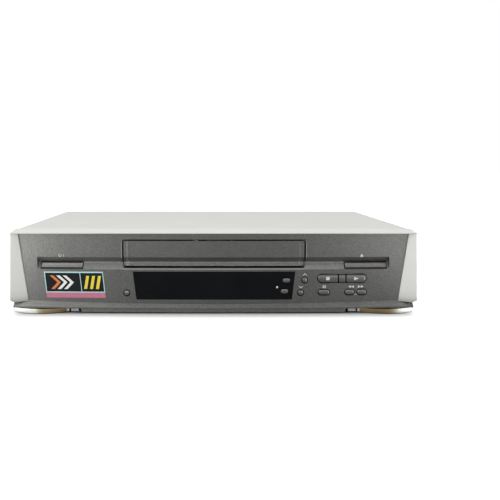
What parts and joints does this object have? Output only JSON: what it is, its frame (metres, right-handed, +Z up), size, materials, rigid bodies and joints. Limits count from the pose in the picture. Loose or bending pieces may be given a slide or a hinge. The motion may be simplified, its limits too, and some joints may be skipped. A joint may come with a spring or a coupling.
{
  "type": "video cassette recorder",
  "caption": "Low silver video cassette recorder with a dark face, flap over the cassette slot, display window, push buttons, boards and a tape deck with a tilted drum and reels.",
  "frame": {"origin": "middle of the footprint, on the table under the feet", "axes": "+X to the right seen from the front, -Y towards the front face, +Z up"},
  "size_m": [0.43, 0.289, 0.088],
  "materials": {
    "case_paint": "satin",
    "frame_plastic": "satin",
    "face_plastic": "satin",
    "button_plastic": "semi-gloss",
    "window_acrylic": "gloss",
    "tube_glass": "gloss",
    "label_film": "gloss",
    "foot_gold": "metallised",
    "rubber": "matt",
    "zinc_steel": "zinc plated",
    "bright_steel": "ground",
    "panel_paint": "matt",
    "black_plastic": "matt",
    "board_laminate": "satin",
    "component_blue": "sleeved",
    "transformer_iron": "varnished",
    "drum_alloy": "machined",
    "motor_green": "satin",
    "white_acetal": "satin"
  },
  "bodies": {
    "recorder": {"top_cover": "case_paint", "screws": "zinc_steel", "bottom_tray": "zinc_steel", "front_frame": "frame_plastic", "fascia": "face_plastic", "display_window": "window_acrylic", "display_tube": "tube_glass", "front_board": "board_laminate", "key_switches": "black_plastic", "button_spacer": "button_plastic", "front_label": "label_film", "front_feet": "foot_gold", "rubber_feet": "rubber", "rear_panel": "panel_paint", "scart_sockets": "black_plastic", "aerial_sockets": "bright_steel", "mains_inlet": "black_plastic", "main_board": "board_laminate", "board_components": "component_blue", "transformer": "transformer_iron", "heat_sink": "drum_alloy", "tuner_box": "zinc_steel", "deck_chassis": "zinc_steel", "lower_drum": "drum_alloy", "drum_motor": "motor_green", "capstan_motor": "motor_green", "drive_belt": "rubber", "loading_motor": "bright_steel", "erase_head": "bright_steel", "audio_head": "bright_steel", "carriage_frame": "zinc_steel"},
    "cassette_door": {"cassette_door": "face_plastic"},
    "power_button": {"power_button": "button_plastic"},
    "eject_button": {"eject_button": "button_plastic"},
    "stop_button": {"stop_button": "button_plastic"},
    "play_button": {"play_button": "button_plastic"},
    "pause_button": {"pause_button": "button_plastic"},
    "rewind_button": {"rewind_button": "button_plastic"},
    "forward_button": {"forward_button": "button_plastic"},
    "channel_up_button": {"channel_up_button": "button_plastic"},
    "channel_down_button": {"channel_down_button": "button_plastic"},
    "timer_button": {"timer_button": "button_plastic"},
    "record_button": {"record_button": "button_plastic"},
    "link_button": {"link_button": "button_plastic"},
    "upper_drum": {"upper_drum": "drum_alloy"},
    "capstan": {"capstan": "bright_steel"},
    "pinch_arm": {"pinch_arm": "zinc_steel"},
    "pinch_roller": {"pinch_roller": "rubber"},
    "supply_reel": {"supply_reel": "white_acetal"},
    "take_up_reel": {"take_up_reel": "white_acetal"},
    "idler_arm": {"idler_arm": "zinc_steel"},
    "idler_wheel": {"idler_wheel": "rubber"},
    "clutch_pulley": {"clutch_pulley": "white_acetal"},
    "motor_pinion": {"motor_pinion": "white_acetal"},
    "cam_gear": {"cam_gear": "white_acetal"},
    "supply_guide": {"supply_guide": "bright_steel"},
    "take_up_guide": {"take_up_guide": "bright_steel"},
    "tension_arm": {"tension_arm": "zinc_steel"},
    "cassette_holder": {"cassette_holder": "zinc_steel"},
    "carriage": {"carriage": "black_plastic"}
  },
  "joints": [
    {"name": "door_swing", "type": "hinge", "parent": "recorder", "child": "cassette_door", "pos_m": [0.0006, -0.1384, 0.0805], "axis": [1, 0, 0], "range_deg": [0, 90], "stiffness_Nm_per_rad": 0.003, "springref_deg": -17.19},
    {"name": "power_press", "type": "slide", "parent": "recorder", "child": "power_button", "axis": [0, 1, 0], "range_m": [0, 0.0008], "stiffness_N_per_m": 400, "springref_m": -0.0005},
    {"name": "eject_press", "type": "slide", "parent": "recorder", "child": "eject_button", "axis": [0, 1, 0], "range_m": [0, 0.0008], "stiffness_N_per_m": 400, "springref_m": -0.0005},
    {"name": "stop_press", "type": "slide", "parent": "recorder", "child": "stop_button", "axis": [0, 1, 0], "range_m": [0, 0.0008], "stiffness_N_per_m": 400, "springref_m": -0.0005},
    {"name": "play_press", "type": "slide", "parent": "recorder", "child": "play_button", "axis": [0, 1, 0], "range_m": [0, 0.0008], "stiffness_N_per_m": 400, "springref_m": -0.0005},
    {"name": "pause_press", "type": "slide", "parent": "recorder", "child": "pause_button", "axis": [0, 1, 0], "range_m": [0, 0.0008], "stiffness_N_per_m": 400, "springref_m": -0.0005},
    {"name": "rewind_press", "type": "slide", "parent": "recorder", "child": "rewind_button", "axis": [0, 1, 0], "range_m": [0, 0.0008], "stiffness_N_per_m": 400, "springref_m": -0.0005},
    {"name": "forward_press", "type": "slide", "parent": "recorder", "child": "forward_button", "axis": [0, 1, 0], "range_m": [0, 0.0008], "stiffness_N_per_m": 400, "springref_m": -0.0005},
    {"name": "channel_up_press", "type": "slide", "parent": "recorder", "child": "channel_up_button", "axis": [0, 1, 0], "range_m": [0, 0.0008], "stiffness_N_per_m": 400, "springref_m": -0.0005},
    {"name": "channel_down_press", "type": "slide", "parent": "recorder", "child": "channel_down_button", "axis": [0, 1, 0], "range_m": [0, 0.0008], "stiffness_N_per_m": 400, "springref_m": -0.0005},
    {"name": "timer_press", "type": "slide", "parent": "recorder", "child": "timer_button", "axis": [0, 1, 0], "range_m": [0, 0.0008], "stiffness_N_per_m": 400, "springref_m": -0.0005},
    {"name": "record_press", "type": "slide", "parent": "recorder", "child": "record_button", "axis": [0, 1, 0], "range_m": [0, 0.0008], "stiffness_N_per_m": 400, "springref_m": -0.0005},
    {"name": "link_press", "type": "slide", "parent": "recorder", "child": "link_button", "axis": [0, 1, 0], "range_m": [0, 0.0008], "stiffness_N_per_m": 400, "springref_m": -0.0005},
    {"name": "carriage_slide", "type": "slide", "parent": "recorder", "child": "carriage", "axis": [0, 1, 0], "range_m": [0, 0.069]},
    {"name": "holder_drop", "type": "slide", "parent": "carriage", "child": "cassette_holder", "axis": [0, 0, -1], "range_m": [0, 0.016]},
    {"name": "drum_spin", "type": "hinge", "parent": "recorder", "child": "upper_drum", "pos_m": [0.0006, 0.06, 0.0272], "axis": [0.0872, 0, 0.9962], "continuous": true},
    {"name": "capstan_spin", "type": "hinge", "parent": "recorder", "child": "capstan", "pos_m": [0.0666, 0.024, 0.0272], "axis": [0, 0, 1], "continuous": true},
    {"name": "clutch_spin", "type": "hinge", "parent": "recorder", "child": "clutch_pulley", "pos_m": [0.0006, -0.028, 0.0272], "axis": [0, 0, 1], "continuous": true},
    {"name": "idler_swing", "type": "hinge", "parent": "recorder", "child": "idler_arm", "pos_m": [0.0006, -0.028, 0.033], "axis": [0, 0, 1], "range_deg": [-20, 20]},
    {"name": "idler_spin", "type": "hinge", "parent": "idler_arm", "child": "idler_wheel", "pos_m": [0.0006, -0.052, 0.03], "axis": [0, 0, 1], "continuous": true},
    {"name": "supply_reel_spin", "type": "hinge", "parent": "recorder", "child": "supply_reel", "pos_m": [-0.0454, -0.042, 0.03], "axis": [0, 0, 1], "continuous": true},
    {"name": "take_up_reel_spin", "type": "hinge", "parent": "recorder", "child": "take_up_reel", "pos_m": [0.0466, -0.042, 0.03], "axis": [0, 0, 1], "continuous": true},
    {"name": "pinch_swing", "type": "hinge", "parent": "recorder", "child": "pinch_arm", "pos_m": [0.0886, 0.04, 0.053], "axis": [0, 0, 1], "range_deg": [0, 14.5]},
    {"name": "pinch_roller_spin", "type": "hinge", "parent": "pinch_arm", "child": "pinch_roller", "pos_m": [0.06723, 0.03623, 0.046], "axis": [0, 0, 1], "continuous": true},
    {"name": "cam_turn", "type": "hinge", "parent": "recorder", "child": "cam_gear", "pos_m": [-0.0794, 0.064, 0.048], "axis": [0, 0, 1], "range_deg": [0, 270]},
    {"name": "pinion_turn", "type": "hinge", "parent": "recorder", "child": "motor_pinion", "pos_m": [-0.0673, 0.08496, 0.048], "axis": [0, 0, 1], "continuous": true},
    {"name": "supply_guide_travel", "type": "hinge", "parent": "recorder", "child": "supply_guide", "pos_m": [0.0006, 0.06, 0.0272], "axis": [0, 0, 1], "range_deg": [-70, 0]},
    {"name": "take_up_guide_travel", "type": "hinge", "parent": "recorder", "child": "take_up_guide", "pos_m": [0.0006, 0.06, 0.0272], "axis": [0, 0, 1], "range_deg": [0, 70]},
    {"name": "tension_swing", "type": "hinge", "parent": "recorder", "child": "tension_arm", "pos_m": [-0.0834, 0.03, 0.03], "axis": [0, 0, 1], "range_deg": [-8, 12], "stiffness_Nm_per_rad": 0.01, "springref_deg": 5.73}
  ],
  "couplings": [
    {"joint": "clutch_spin", "follows": "capstan_spin", "ratio": 0.46154},
    {"joint": "idler_spin", "follows": "capstan_spin", "ratio": -0.31978},
    {"joint": "pinion_turn", "follows": "cam_turn", "ratio": -3},
    {"joint": "supply_guide_travel", "follows": "cam_turn", "ratio": -0.25926},
    {"joint": "take_up_guide_travel", "follows": "cam_turn", "ratio": 0.25926}
  ]
}
